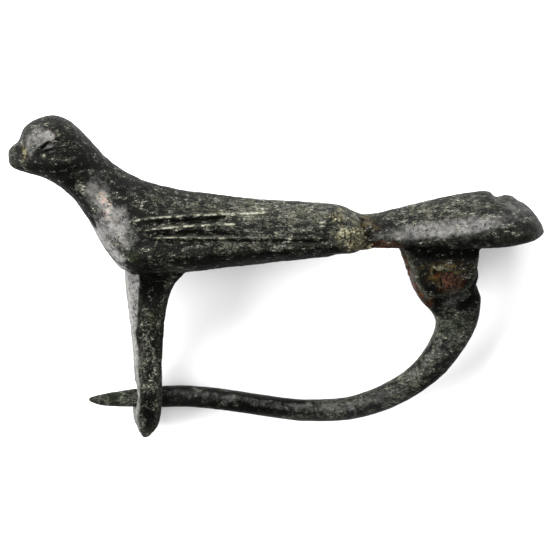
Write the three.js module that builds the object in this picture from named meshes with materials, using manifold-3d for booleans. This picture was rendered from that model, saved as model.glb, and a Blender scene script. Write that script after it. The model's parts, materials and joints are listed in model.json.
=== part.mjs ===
// A Roman bird brooch: one bronze casting in the shape of a bird, with a catchplate leg under its
// breast and two hinge lugs under its tail, and a bronze pin that swings on an iron axle.
//
// Lengths are millimetres. The bird is drawn in its own frame: +X runs from beak to tail, +Y from the
// pin to the bird's back, and +Z out of its left wing. The exported group then lays it down on its
// right side, so that the left wing looks up along the group's +Z.
import * as THREE from "three";
import { mergeVertices } from "three/addons/utils/BufferGeometryUtils.js";
import Module from "manifold-3d";

const wasm = await Module();
wasm.setup();

// ---------------------------------------------------------------- driving dimensions

// How far the pin side dips when the brooch lies on its right wing, its tail and its catch.
const REST_ROLL = THREE.MathUtils.degToRad(11.2);

// Facets round the bird and slices along each span between two of its stations.
const BIRD_SIDES = 40;
const BIRD_SLICES = 3;

// Slices across the bird, from the beak's tip to the tail's end. Each has its top and bottom point in
// the bird's middle plane, its half-width, the height of its widest line (0 at the bottom, 1 at the
// top), and how full its upper and lower halves are (1 a straight slope, 2 an ellipse, 4 nearly a box).
const BIRD = [
  { at: "beak tip", top: [-19.14, 8.9], bottom: [-19.13, 8.05], half: 0.45, edge: 0.5, upper: 2, lower: 2 },
  { at: "beak", top: [-18.85, 9.3], bottom: [-18.9, 7.72], half: 0.75, edge: 0.5, upper: 2, lower: 2 },
  {
    at: "beak root",
    top: [-18.42, 9.65],
    bottom: [-18.4, 7.5],
    half: 1.15,
    edge: 0.45,
    upper: 2,
    lower: 2.2,
  },
  { at: "brow", top: [-18.05, 10.55], bottom: [-17.6, 7.3], half: 1.75, edge: 0.5, upper: 2, lower: 2.2 },
  {
    at: "forehead",
    top: [-17.25, 11.13],
    bottom: [-16.55, 7.0],
    half: 2.2,
    edge: 0.52,
    upper: 2,
    lower: 2.2,
  },
  {
    at: "crown",
    top: [-15.99, 11.45],
    bottom: [-15.48, 6.34],
    half: 2.4,
    edge: 0.52,
    upper: 2,
    lower: 2.2,
  },
  {
    at: "hind crown",
    top: [-14.71, 11.02],
    bottom: [-14.55, 5.56],
    half: 2.3,
    edge: 0.5,
    upper: 2,
    lower: 2.3,
  },
  { at: "nape", top: [-13.43, 9.76], bottom: [-13.72, 4.5], half: 2.1, edge: 0.5, upper: 2, lower: 2.5 },
  { at: "neck", top: [-11.7, 8.06], bottom: [-12.96, 3.21], half: 2.3, edge: 0.45, upper: 1.8, lower: 2.7 },
  {
    at: "breast",
    top: [-9.56, 6.86],
    bottom: [-12.01, 1.67],
    half: 3.15,
    edge: 0.4,
    upper: 1.6,
    lower: 2.4,
  },
  { at: "shoulder", top: [-7.2, 6.25], bottom: [-10.5, 0.3], half: 3.9, edge: 0.38, upper: 1.45, lower: 2 },
  {
    at: "upper back",
    top: [-4.6, 5.9],
    bottom: [-6.4, 0.35],
    half: 4.1,
    edge: 0.38,
    upper: 1.45,
    lower: 1.8,
  },
  { at: "mid back", top: [-1.1, 5.5], bottom: [-2.1, 0.85], half: 4.0, edge: 0.38, upper: 1.5, lower: 1.8 },
  { at: "lower back", top: [2.6, 5.28], bottom: [2.2, 1.35], half: 3.6, edge: 0.4, upper: 1.6, lower: 2 },
  { at: "wing end", top: [4.75, 4.98], bottom: [4.9, 1.62], half: 3.05, edge: 0.45, upper: 2, lower: 2.2 },
  { at: "waist", top: [6.3, 4.4], bottom: [6.5, 2.05], half: 1.9, edge: 0.45, upper: 1.8, lower: 2.4 },
  { at: "tail root", top: [8.2, 4.75], bottom: [8.2, 2.15], half: 2.5, edge: 0.4, upper: 1.5, lower: 2.8 },
  { at: "mid tail", top: [12.1, 5.7], bottom: [11.9, 2.15], half: 3.6, edge: 0.38, upper: 1.4, lower: 2.8 },
  {
    at: "tail crest",
    top: [14.95, 6.17],
    bottom: [14.6, 2.3],
    half: 4.2,
    edge: 0.38,
    upper: 1.4,
    lower: 2.8,
  },
  {
    at: "tail step",
    top: [15.95, 5.76],
    bottom: [15.9, 2.4],
    half: 4.3,
    edge: 0.38,
    upper: 1.6,
    lower: 2.8,
  },
  { at: "tail fan", top: [17.1, 5.7], bottom: [17.1, 2.55], half: 4.1, edge: 0.38, upper: 1.7, lower: 2.6 },
  { at: "fan end", top: [18.4, 4.85], bottom: [18.3, 2.8], half: 3.3, edge: 0.4, upper: 2, lower: 2.4 },
  { at: "tail end", top: [19.12, 3.85], bottom: [19.05, 3.15], half: 1.9, edge: 0.45, upper: 2, lower: 2 },
];

// The folded flight feathers: grooves along each wing, each between two points of the wing as seen
// from the side. They are deepest in the middle of their run.
const GROOVE_SLICES = 12;
const GROOVES = [
  { from: [-10.4, 4.4], to: [-3.1, 4.72], width: 0.6, depth: 0.28 },
  { from: [-10.1, 3.75], to: [-2.7, 3.66], width: 0.62, depth: 0.28 },
  { from: [-9.5, 3.2], to: [2.4, 3.2], width: 0.3, depth: 0.14 },
];

// Slices across the catchplate leg, from inside the breast to the catch's foot: front and back edge
// along X, near and far face along Z, and the width of the slanted facet on the front's near corner.
const LEG = [
  { y: 1.6, front: -10.7, back: -5.6, near: 1.6, far: -1.6, facet: 0.9 },
  { y: 0.4, front: -10.65, back: -6.6, near: 1.6, far: -1.6, facet: 0.9 },
  { y: -0.3, front: -10.6, back: -7.25, near: 1.6, far: -1.6, facet: 0.85 },
  { y: -1.4, front: -10.5, back: -7.7, near: 1.6, far: -1.5, facet: 0.7 },
  { y: -3.0, front: -10.32, back: -7.93, near: 1.6, far: -1.3, facet: 0.5 },
  { y: -5.0, front: -10.04, back: -8.06, near: 1.65, far: -1.1, facet: 0.3 },
  { y: -7.0, front: -9.88, back: -8.08, near: 1.75, far: -0.95, facet: 0.2 },
  { y: -8.6, front: -9.76, back: -8.05, near: 1.8, far: -1.5, facet: 0.2 },
  { y: -9.9, front: -9.84, back: -8.1, near: 1.8, far: -1.55, facet: 0.25 },
  { y: -10.75, front: -9.74, back: -8.3, near: 1.7, far: -1.4, facet: 0.3 },
  { y: -11.3, front: -9.5, back: -8.65, near: 1.3, far: -1.0, facet: 0.25 },
  { y: -11.7, front: -9.25, back: -9.0, near: 0.7, far: -0.4, facet: 0.1 },
];
const LEG_CORNER = 0.3; // rounding of the leg's other corners

// The hinge: axle centre in the bird's frame, and the parts that sit on it along Z.
const HINGE = { x: 12.25, y: 0.05 };
const AXLE_RADIUS = 0.55;
const AXLE_PROUD = 0.08; // how far the axle stands out of the lugs
const RUNNING_GAP = 0.05; // round the axle
const TAB_THICKNESS = 2.0;
const SIDE_GAP = 0.15; // between the pin's tab and each lug
const LUG_THICKNESS = 1.05;
const ROUND_SIDES = 32;
// A lug's outline, from its root in the tail down its front edge and back up.
const LUG = [
  [8.75, 2.9],
  [9.15, 1.82],
  [9.62, 0.7],
  [10.04, -0.41],
  [10.34, -0.99],
  [10.75, -1.32],
  [12.3, -1.08],
  [13.6, -0.72],
  [13.86, -0.48],
  [14.24, 0.16],
  [14.4, 1.68],
  [14.45, 2.9],
];
const LUG_EDGE = 0.14; // bevel round a lug's outer face

// Slices across the pin, from its point to the head round the axle, in the same terms as the bird's:
// the edge towards the bird is the top.
const PIN_SIDES = 18;
const PIN_SLICES = 2;
const PIN = [
  { top: [-13.14, -8.98], bottom: [-13.14, -9.12], half: 0.08, edge: 0.5, upper: 2, lower: 2 },
  { top: [-12.95, -8.83], bottom: [-12.95, -9.25], half: 0.22, edge: 0.5, upper: 2, lower: 2 },
  { top: [-12.2, -8.63], bottom: [-12.2, -9.49], half: 0.4, edge: 0.5, upper: 2, lower: 2 },
  { top: [-10.94, -8.41], bottom: [-10.92, -9.57], half: 0.54, edge: 0.5, upper: 2.1, lower: 2.1 },
  { top: [-9.2, -8.2], bottom: [-9.2, -9.58], half: 0.62, edge: 0.5, upper: 2.2, lower: 2.2 },
  { top: [-7.5, -8.06], bottom: [-7.48, -9.59], half: 0.68, edge: 0.5, upper: 2.2, lower: 2.2 },
  { top: [-5.78, -8.06], bottom: [-5.75, -9.6], half: 0.72, edge: 0.5, upper: 2.2, lower: 2.2 },
  { top: [-3.2, -8.33], bottom: [-3.3, -9.86], half: 0.74, edge: 0.5, upper: 2.2, lower: 2.2 },
  { top: [-0.5, -8.76], bottom: [-0.7, -10.26], half: 0.75, edge: 0.5, upper: 2.2, lower: 2.2 },
  { top: [2.2, -9.09], bottom: [2.1, -10.66], half: 0.76, edge: 0.5, upper: 2.2, lower: 2.2 },
  { top: [4.65, -9.05], bottom: [4.75, -10.67], half: 0.78, edge: 0.5, upper: 2.2, lower: 2.2 },
  { top: [6.17, -8.79], bottom: [6.6, -10.41], half: 0.8, edge: 0.5, upper: 2.3, lower: 2.3 },
  { top: [8.0, -8.07], bottom: [8.75, -9.72], half: 0.82, edge: 0.5, upper: 2.4, lower: 2.4 },
  { top: [9.63, -7.08], bottom: [10.92, -8.51], half: 0.84, edge: 0.5, upper: 2.4, lower: 2.4 },
  { top: [10.8, -5.85], bottom: [12.6, -7.1], half: 0.88, edge: 0.5, upper: 2.6, lower: 2.6 },
  { top: [11.6, -4.4], bottom: [13.95, -5.25], half: 0.92, edge: 0.5, upper: 2.8, lower: 2.8 },
  { top: [11.8, -3.4], bottom: [14.75, -3.6], half: 0.95, edge: 0.5, upper: 3.2, lower: 3.2 },
  { top: [11.4, -2.65], bottom: [14.95, -2.3], half: 0.97, edge: 0.5, upper: 3.6, lower: 3.6 },
  { top: [10.7, -1.95], bottom: [14.95, -1.5], half: 0.98, edge: 0.5, upper: 4, lower: 4 },
  { top: [10.15, -1.1], bottom: [14.7, -0.6], half: 0.98, edge: 0.5, upper: 4, lower: 4 },
];
const TAB_RADIUS = 2.35; // the rounded head round the axle
const TAB_ROOM = 0.15; // between that head and the tail above it

// The pin's channel through the foot of the leg, open on the far side above the catch's lip.
const CATCH = { x: -8.9, y: -8.8, radius: 0.88, mouth: 0.95, mouthRise: 0.4 };

// ---------------------------------------------------------------- solids

// A closed mesh as a manifold-3d solid, turned right side out.
function solid(geometry) {
  const bare = geometry.index ? geometry.toNonIndexed() : geometry.clone();
  for (const name of Object.keys(bare.attributes)) if (name !== "position") bare.deleteAttribute(name);
  const merged = mergeVertices(bare, 1e-4);
  const make = (triVerts) => {
    const vertProperties = new Float32Array(merged.attributes.position.array);
    return new wasm.Manifold(new wasm.Mesh({ numProp: 3, vertProperties, triVerts }));
  };
  const faces = new Uint32Array(merged.index.array);
  const made = make(faces);
  return made.volume() > 0 ? made : make(faces.reverse());
}

// A manifold-3d solid as a flat-shaded geometry.
function geometryOf(made) {
  const mesh = made.getMesh();
  const indexed = new THREE.BufferGeometry();
  indexed.setAttribute("position", new THREE.BufferAttribute(mesh.vertProperties, 3));
  indexed.setIndex(new THREE.BufferAttribute(mesh.triVerts, 1));
  const flat = indexed.toNonIndexed();
  flat.computeVertexNormals();
  return flat;
}

// A skin over rings of equal length, closed by a fan over the first ring and one over the last.
function loft(rings) {
  const count = rings[0].length;
  const points = rings.flat();
  const faces = [];
  for (let r = 0; r + 1 < rings.length; r++) {
    for (let i = 0; i < count; i++) {
      const a = r * count + i;
      const b = r * count + ((i + 1) % count);
      faces.push(a, b, b + count, a, b + count, a + count);
    }
  }
  for (const [ring, start, turn] of [
    [rings[0], 0, 1],
    [rings.at(-1), (rings.length - 1) * count, 0],
  ]) {
    const middle = ring.reduce((sum, p) => sum.add(p), new THREE.Vector3()).divideScalar(count);
    points.push(middle);
    for (let i = 0; i < count; i++) {
      const a = start + ((i + turn) % count);
      const b = start + ((i + 1 - turn) % count);
      faces.push(a, b, points.length - 1);
    }
  }
  const geometry = new THREE.BufferGeometry().setFromPoints(points);
  geometry.setIndex(faces);
  return solid(geometry);
}

// A value that runs smoothly through a list of values; at 1.5 it is halfway from the second to the third.
function smooth(values, position) {
  const last = values.length - 1;
  const i = Math.min(Math.floor(position), last - 1);
  const t = position - i;
  const [before, a, b, after] = [i - 1, i, i + 1, i + 2].map((k) => values[Math.max(0, Math.min(last, k))]);
  const leave = (b - before) / 2;
  const arrive = (after - a) / 2;
  return a + t * (leave + t * (3 * (b - a) - 2 * leave - arrive + t * (2 * (a - b) + leave + arrive)));
}

// A superellipse's two coordinates at an angle, each from -1 to 1.
function superellipse(angle, fullness) {
  const bulge = (v) => Math.sign(v) * Math.abs(v) ** (2 / fullness);
  return [bulge(Math.cos(angle)), bulge(Math.sin(angle))];
}

// The positions of the slices between stations 0 and last.
function slices(last, each) {
  return Array.from({ length: last * each + 1 }, (_, i) => i / each);
}

// An outline in the middle plane made into a plate from one Z to another, with an optional bevel.
function plate(outline, low, high, edge = 0) {
  const shape = new THREE.Shape(outline.map(([x, y]) => new THREE.Vector2(x, y)));
  const depth = high - low - 2 * edge;
  const geometry = new THREE.ExtrudeGeometry(shape, {
    depth,
    bevelEnabled: edge > 0,
    bevelThickness: edge,
    bevelSize: edge,
    bevelOffset: -edge,
    bevelSegments: 2,
  });
  return solid(geometry.translate(0, 0, low + edge));
}

// A round bar along Z, centred on the hinge.
function barOnHinge(radius, length) {
  const geometry = new THREE.CylinderGeometry(radius, radius, length, ROUND_SIDES);
  return solid(geometry.rotateX(Math.PI / 2).translate(HINGE.x, HINGE.y, 0));
}

// ---------------------------------------------------------------- the bird

// A slice of a body that is given by stations: its top, its bottom and its other measures.
function sliceOf(stations, position) {
  const value = (read) => smooth(stations.map(read), position);
  return {
    top: [value((s) => s.top[0]), value((s) => s.top[1])],
    bottom: [value((s) => s.bottom[0]), value((s) => s.bottom[1])],
    half: value((s) => s.half),
    edge: value((s) => s.edge),
    upper: value((s) => s.upper),
    lower: value((s) => s.lower),
  };
}

// A point on a slice's outline, at an angle that runs round it from the left edge over the top.
function outlinePoint(slice, angle) {
  const [out, up] = superellipse(angle, Math.sin(angle) >= 0 ? slice.upper : slice.lower);
  const height = up >= 0 ? slice.edge + up * (1 - slice.edge) : slice.edge * (1 + up);
  const along = (k) => slice.bottom[k] + (slice.top[k] - slice.bottom[k]) * height;
  return new THREE.Vector3(along(0), along(1), out * slice.half);
}

// A skin over slices of a body that is given by stations.
function skin(stations, sides, each) {
  const ring = (position) => {
    const slice = sliceOf(stations, position);
    return Array.from({ length: sides }, (_, i) => outlinePoint(slice, (2 * Math.PI * i) / sides));
  };
  return loft(slices(stations.length - 1, each).map(ring));
}

// The point of the left wing that lies over a point of the middle plane.
function onWing(x, y) {
  let before = BIRD.findIndex((s) => s.at === "neck");
  let behind = BIRD.findIndex((s) => s.at === "waist");
  const rise = (slice) => (y - slice.bottom[1]) / (slice.top[1] - slice.bottom[1]);
  for (let halving = 0; halving < 24; halving++) {
    const middle = (before + behind) / 2;
    const slice = sliceOf(BIRD, middle);
    const there = slice.bottom[0] + (slice.top[0] - slice.bottom[0]) * rise(slice);
    if (there < x) before = middle;
    else behind = middle;
  }
  const slice = sliceOf(BIRD, before);
  const up = Math.max(0, (rise(slice) - slice.edge) / (1 - slice.edge));
  return outlinePoint(slice, Math.asin(up ** (slice.upper / 2)));
}

// A lens-shaped cutter along the wing's skin.
function grooveCutter(groove, side) {
  const rings = slices(1, GROOVE_SLICES).map((run) => {
    const x = THREE.MathUtils.lerp(groove.from[0], groove.to[0], run);
    const y = THREE.MathUtils.lerp(groove.from[1], groove.to[1], run);
    const step = 0.05;
    const place = onWing(x, y);
    const onward = onWing(x + step, y).sub(onWing(x - step, y));
    const upward = onWing(x, y + step).sub(onWing(x, y - step)).normalize();
    const outward = onward.cross(upward).normalize();
    const taper = 0.12 + 0.88 * Math.sin(Math.PI * (0.06 + 0.88 * run)) ** 0.6;
    const corners = [
      [-0.5, 0.12],
      [0, -1],
      [0.5, 0.12],
      [0, 0.6],
    ];
    return corners.map(([across, out]) => {
      const point = place.clone().addScaledVector(upward, across * groove.width * taper);
      point.addScaledVector(outward, out * groove.depth * taper);
      point.z *= side;
      return point;
    });
  });
  return loft(rings);
}

// ---------------------------------------------------------------- leg and lugs

// A slice of the leg: a rectangle with rounded corners and a slanted facet on its front near corner.
function legRing(s) {
  const round = Math.min(LEG_CORNER, (s.near - s.far) / 4, (s.back - s.front) / 4);
  const facet = Math.max(s.facet, 0.05);
  const corners = [
    [s.front + facet, s.near],
    [s.back - round, s.near],
    [s.back, s.near - round],
    [s.back, s.far + round],
    [s.back - round, s.far],
    [s.front + round, s.far],
    [s.front, s.far + round],
    [s.front, s.near - Math.min(facet * 0.6, (s.near - s.far) / 2)],
  ];
  return corners.map(([x, z]) => new THREE.Vector3(x, s.y, z));
}

function leg() {
  const value = (read, position) => smooth(LEG.map(read), position);
  const at = (position) => ({
    y: value((s) => s.y, position),
    front: value((s) => s.front, position),
    back: value((s) => s.back, position),
    near: value((s) => s.near, position),
    far: value((s) => s.far, position),
    facet: value((s) => s.facet, position),
  });
  return loft(slices(LEG.length - 1, 2).map((position) => legRing(at(position))));
}

// The channel that the pin rests in: a round floor, and a mouth above the lip on the far side.
function catchChannel() {
  const length = 6;
  const floor = new THREE.CylinderGeometry(CATCH.radius, CATCH.radius, length, ROUND_SIDES);
  floor.rotateZ(Math.PI / 2).translate(CATCH.x, CATCH.y, 0);
  const reach = 4;
  const mouth = new THREE.BoxGeometry(length, CATCH.mouth, reach);
  mouth.translate(CATCH.x, CATCH.y + CATCH.mouthRise, -reach / 2);
  return solid(floor).add(solid(mouth));
}

function broochBody() {
  const inner = TAB_THICKNESS / 2 + SIDE_GAP;
  const outer = inner + LUG_THICKNESS;
  const nearLug = plate(LUG, inner, outer, LUG_EDGE);
  const farLug = plate(LUG, -outer, -inner, LUG_EDGE);
  let body = skin(BIRD, BIRD_SIDES, BIRD_SLICES).add(leg()).add(nearLug).add(farLug);
  for (const groove of GROOVES) {
    for (const side of [1, -1]) {
      body = body.subtract(grooveCutter(groove, side));
    }
  }
  const tabRoom = barOnHinge(TAB_RADIUS + TAB_ROOM, 2 * inner);
  const bore = barOnHinge(AXLE_RADIUS + RUNNING_GAP, 4 * outer);
  return body.subtract(catchChannel()).subtract(tabRoom).subtract(bore);
}

// ---------------------------------------------------------------- pin and axle

function pin() {
  const head = barOnHinge(TAB_RADIUS, TAB_THICKNESS);
  const bore = barOnHinge(AXLE_RADIUS + RUNNING_GAP, 2 * TAB_THICKNESS);
  return skin(PIN, PIN_SIDES, PIN_SLICES).add(head).subtract(bore);
}

function axle() {
  const length = TAB_THICKNESS + 2 * (SIDE_GAP + LUG_THICKNESS + AXLE_PROUD);
  return barOnHinge(AXLE_RADIUS, length);
}

// ---------------------------------------------------------------- the brooch

const bronze = { metalness: 0.85, roughness: 0.42 };
const pieces = [
  ["brooch_body", broochBody(), { color: 0x3c3f36, ...bronze }],
  ["pin", pin(), { color: 0x3a3e35, ...bronze }],
  ["hinge_axis", axle(), { color: 0x6e4326, metalness: 0.3, roughness: 0.8 }],
];

const bird = new THREE.Group();
for (const [name, made, look] of pieces) {
  const mesh = new THREE.Mesh(geometryOf(made), new THREE.MeshStandardMaterial(look));
  mesh.name = name;
  bird.add(mesh);
}
bird.rotation.x = REST_ROLL;

// The brooch lies with its lowest point at height 0 and its box centred over the origin.
const box = new THREE.Box3().setFromObject(bird, true);
const centre = box.getCenter(new THREE.Vector3());
bird.position.set(-centre.x, -centre.y, -box.min.z);

const brooch = new THREE.Group();
brooch.add(bird);
export default brooch;
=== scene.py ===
"""Looks of a cast bronze bird brooch: the bird with its leg and lugs, the pin and the iron axle."""

import json
import logging
import math
from dataclasses import dataclass
from enum import Enum
from typing import Any, Optional

import bmesh
import bpy
import numpy as np
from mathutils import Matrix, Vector


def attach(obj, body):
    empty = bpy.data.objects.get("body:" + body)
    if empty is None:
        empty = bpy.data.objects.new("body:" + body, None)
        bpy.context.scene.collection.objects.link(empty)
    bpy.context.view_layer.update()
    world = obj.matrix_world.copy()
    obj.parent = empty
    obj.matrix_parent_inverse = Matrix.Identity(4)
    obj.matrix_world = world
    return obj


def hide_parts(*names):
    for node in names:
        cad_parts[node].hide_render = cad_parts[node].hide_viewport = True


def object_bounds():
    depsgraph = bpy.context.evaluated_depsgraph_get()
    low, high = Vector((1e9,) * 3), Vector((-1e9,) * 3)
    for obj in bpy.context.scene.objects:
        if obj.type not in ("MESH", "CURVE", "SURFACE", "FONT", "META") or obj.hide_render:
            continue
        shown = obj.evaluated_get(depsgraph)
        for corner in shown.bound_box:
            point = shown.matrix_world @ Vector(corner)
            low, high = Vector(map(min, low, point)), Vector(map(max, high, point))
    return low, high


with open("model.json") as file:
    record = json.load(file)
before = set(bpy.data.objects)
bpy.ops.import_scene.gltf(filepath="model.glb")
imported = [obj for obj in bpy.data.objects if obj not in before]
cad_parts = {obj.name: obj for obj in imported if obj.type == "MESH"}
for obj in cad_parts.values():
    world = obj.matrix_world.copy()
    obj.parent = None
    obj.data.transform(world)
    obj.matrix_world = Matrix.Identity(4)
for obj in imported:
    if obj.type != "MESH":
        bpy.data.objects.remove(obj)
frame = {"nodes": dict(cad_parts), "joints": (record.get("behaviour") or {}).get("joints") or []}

LOG = logging.getLogger("brooch")
CAD_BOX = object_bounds()
MM = 0.001
PER_METRE = 1 / MM
SAME_PLACE = 1e-7
HINGE = (12.25, 0.05)

Colour = tuple[float, float, float]
Point = tuple[float, float]
Place = tuple[float, float, float]


class Side(Enum):
    """Which flank of the bird a feature lies on."""

    NEAR = 1
    FAR = -1
    BOTH = 0


# ---------------------------------------------------------------- the bird's own frame


class BirdFrame:
    """Millimetres along the bird: x beak to tail, y towards its back, z out of its near wing."""

    def __init__(self, joint: dict[str, Any]) -> None:
        """Finds the frame from the pin's hinge.

        Args:
            joint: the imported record's hinge, with its place and its axis.
        """
        across = np.array(joint["axis"], float)
        across /= np.linalg.norm(across)
        along = np.array([1.0, 0.0, 0.0])
        self.turn = np.stack([along, np.cross(across, along), across], axis=1)
        hinge = np.array([HINGE[0], HINGE[1], 0.0]) * MM
        self.shift = np.array(joint["pos_m"], float) - self.turn @ hinge
        self.roll = math.atan2(-across[1], across[2])

    def to_row(self, points: np.ndarray) -> np.ndarray:
        """Bird millimetres to row metres."""
        return points * MM @ self.turn.T + self.shift

    def to_bird(self, points: np.ndarray) -> np.ndarray:
        """Row metres to bird millimetres."""
        return (points - self.shift) @ self.turn / MM


# ---------------------------------------------------------------- surface features


@dataclass(frozen=True)
class Stroke:
    """A line drawn on a flank, cut in or raised."""

    path: tuple[Point, ...]
    width: float
    height: float = 0.0
    side: Side = Side.BOTH
    taper: float = 0.5
    amount: float = 1.0

    def cover(self, at: np.ndarray) -> np.ndarray:
        """How strongly each point lies under the stroke.

        Args:
            at: points in bird millimetres.

        Returns:
            0 to 1 for each point.
        """
        best = np.full(len(at), 1e9)
        run = np.zeros(len(at))
        done = 0.0
        for start, end in zip(self.path, self.path[1:]):
            a = np.array(start)
            step = np.array(end) - a
            length = float(np.hypot(*step))
            share = np.clip((at[:, :2] - a) @ step / length**2, 0, 1)
            away = np.linalg.norm(at[:, :2] - a - share[:, None] * step, axis=1)
            nearer = away < best
            best = np.where(nearer, away, best)
            run = np.where(nearer, done + share * length, run)
            done += length
        ends = np.minimum(run, done - run) / self.taper
        fade = np.clip(ends, 0, 1) if self.taper > 0 else np.ones(len(at))
        across = np.exp(-((best / (self.width / 2)) ** 2))
        return across * fade * on_side(at, self.side) * self.amount


@dataclass(frozen=True)
class Patch:
    """An oval area on a flank, tinted, sunk or raised."""

    at: Point
    radii: Point
    turn: float = 0.0
    height: float = 0.0
    side: Side = Side.BOTH
    amount: float = 1.0
    edge: float = 0.85

    def cover(self, at: np.ndarray) -> np.ndarray:
        """How strongly each point lies in the patch.

        Args:
            at: points in bird millimetres.

        Returns:
            0 to amount for each point.
        """
        angle = math.radians(self.turn)
        dx = at[:, 0] - self.at[0]
        dy = at[:, 1] - self.at[1]
        u = (dx * math.cos(angle) + dy * math.sin(angle)) / self.radii[0]
        v = (-dx * math.sin(angle) + dy * math.cos(angle)) / self.radii[1]
        out = np.clip((1 + self.edge - np.hypot(u, v)) / (2 * self.edge), 0, 1)
        return out * out * (3 - 2 * out) * on_side(at, self.side) * self.amount


Features = tuple[Stroke | Patch, ...]


def on_side(at: np.ndarray, side: Side, change: float = 0.5) -> np.ndarray:
    """1 on the named flank and 0 on the other, with a soft change over the spine.

    Args:
        at: points in bird millimetres.
        side: the flank.
        change: how wide the soft change is, in millimetres.

    Returns:
        0 to 1 for each point.
    """
    if side is Side.BOTH:
        return np.ones(len(at))
    return np.clip(0.5 + side.value * at[:, 2] / change, 0, 1)


def rising(values: np.ndarray, start: float, width: float) -> np.ndarray:
    """0 up to start, then rising to 1 over the width."""
    return np.clip((values - start) / width, 0, 1)


def strongest(features: Features, at: np.ndarray) -> np.ndarray:
    """The largest cover of any of the features at each point.

    Args:
        features: strokes and patches.
        at: points in bird millimetres.

    Returns:
        0 to 1 for each point.
    """
    out = np.zeros(len(at))
    for feature in features:
        out = np.maximum(out, feature.cover(at))
    return out


# ---------------------------------------------------------------- node trees


Socket = bpy.types.NodeSocket


class Tree:
    """Adds and joins nodes in one node tree."""

    def __init__(self, tree: bpy.types.NodeTree) -> None:
        """Keeps the tree to be filled."""
        self.tree = tree

    def node(
        self, kind: str, inputs: Optional[dict[Any, Any]] = None, **settings: Any
    ) -> bpy.types.Node:
        """Adds a node.

        Args:
            kind: the node's type name.
            inputs: socket name or index to a value, or to another node's output.
            settings: properties of the node itself.

        Returns:
            The new node.
        """
        made = self.tree.nodes.new(kind)
        for name, value in settings.items():
            setattr(made, name, value)
        for name, value in (inputs or {}).items():
            if isinstance(value, Socket):
                self.join(value, made.inputs[name])
            else:
                made.inputs[name].default_value = value
        return made

    def join(self, source: Socket, target: Socket) -> None:
        """Links one output to one input."""
        self.tree.links.new(source, target)

    def calc(self, operation: str, a: Any, b: Any = 0.0, clamp: bool = False) -> Socket:
        """One sum of two numbers.

        Args:
            operation: the Math node's operation.
            a: first value or socket.
            b: second value or socket.
            clamp: whether the result stays within 0 to 1.

        Returns:
            The result's socket.
        """
        made = self.node("ShaderNodeMath", {0: a, 1: b}, operation=operation, use_clamp=clamp)
        return made.outputs[0]

    def plus(self, a: Any, b: Any, clamp: bool = False) -> Socket:
        """a and b together."""
        return self.calc("ADD", a, b, clamp)

    def less(self, a: Any, b: Any) -> Socket:
        """a less b."""
        return self.calc("SUBTRACT", a, b)

    def times(self, a: Any, b: Any, clamp: bool = False) -> Socket:
        """a times b."""
        return self.calc("MULTIPLY", a, b, clamp)

    def larger(self, a: Any, b: Any) -> Socket:
        """The larger of a and b."""
        return self.calc("MAXIMUM", a, b)

    def ramp(
        self, value: Any, low: float, high: float, start: float = 0.0, end: float = 1.0
    ) -> Socket:
        """A soft step of value from low to high, put out as start to end."""
        names = {"Value": value, "From Min": low, "From Max": high, "To Min": start, "To Max": end}
        return self.node("ShaderNodeMapRange", names, interpolation_type="SMOOTHSTEP").outputs[0]

    def blend(self, share: Any, a: Any, b: Any) -> Socket:
        """A colour between a and b."""
        names = {0: share, 6: opaque(a), 7: opaque(b)}
        return self.node("ShaderNodeMix", names, data_type="RGBA").outputs[2]

    def noise(
        self, at: Any, scale: float, detail: float = 4.0, rough: float = 0.6, bend: float = 0.0
    ) -> Socket:
        """Smooth noise between 0 and 1."""
        names = {"Vector": at, "Scale": scale, "Detail": detail, "Roughness": rough}
        return self.node("ShaderNodeTexNoise", {**names, "Distortion": bend}).outputs[0]

    def stretched(self, at: Any, by: Place) -> Socket:
        """Coordinates multiplied by a number on each axis."""
        return self.node("ShaderNodeVectorMath", {0: at, 1: by}, operation="MULTIPLY").outputs[0]

    def counted(self, at: Any, size: Any) -> Socket:
        """Coordinates counted in steps of a size.

        Args:
            at: the coordinates.
            size: the step, in the coordinates' own unit.

        Returns:
            The new coordinates' socket.
        """
        made = self.node("ShaderNodeVectorMath", {0: at}, operation="SCALE")
        self.join(self.calc("DIVIDE", 1.0, size), made.inputs["Scale"])
        return made.outputs[0]


def opaque(colour: Any) -> Any:
    """A colour with full alpha, or the socket as it came."""
    return (*colour, 1.0) if isinstance(colour, tuple) and len(colour) == 3 else colour


def new_group(
    name: str, inputs: dict[str, float], outputs: tuple[str, ...]
) -> tuple[Tree, Any, Any]:
    """Starts a shader node group that reads a vector and some numbers.

    Args:
        name: the group's name.
        inputs: each number's name and default.
        outputs: the name of each number that is put out.

    Returns:
        The tree, its given sockets and the sockets it puts out.
    """
    group = bpy.data.node_groups.new(name, "ShaderNodeTree")
    group.interface.new_socket("Vector", in_out="INPUT", socket_type="NodeSocketVector")
    for label, value in inputs.items():
        made = group.interface.new_socket(label, in_out="INPUT", socket_type="NodeSocketFloat")
        made.default_value = value
    for label in outputs:
        group.interface.new_socket(label, in_out="OUTPUT", socket_type="NodeSocketFloat")
    tree = Tree(group)
    return tree, tree.node("NodeGroupInput").outputs, tree.node("NodeGroupOutput").inputs


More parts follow.
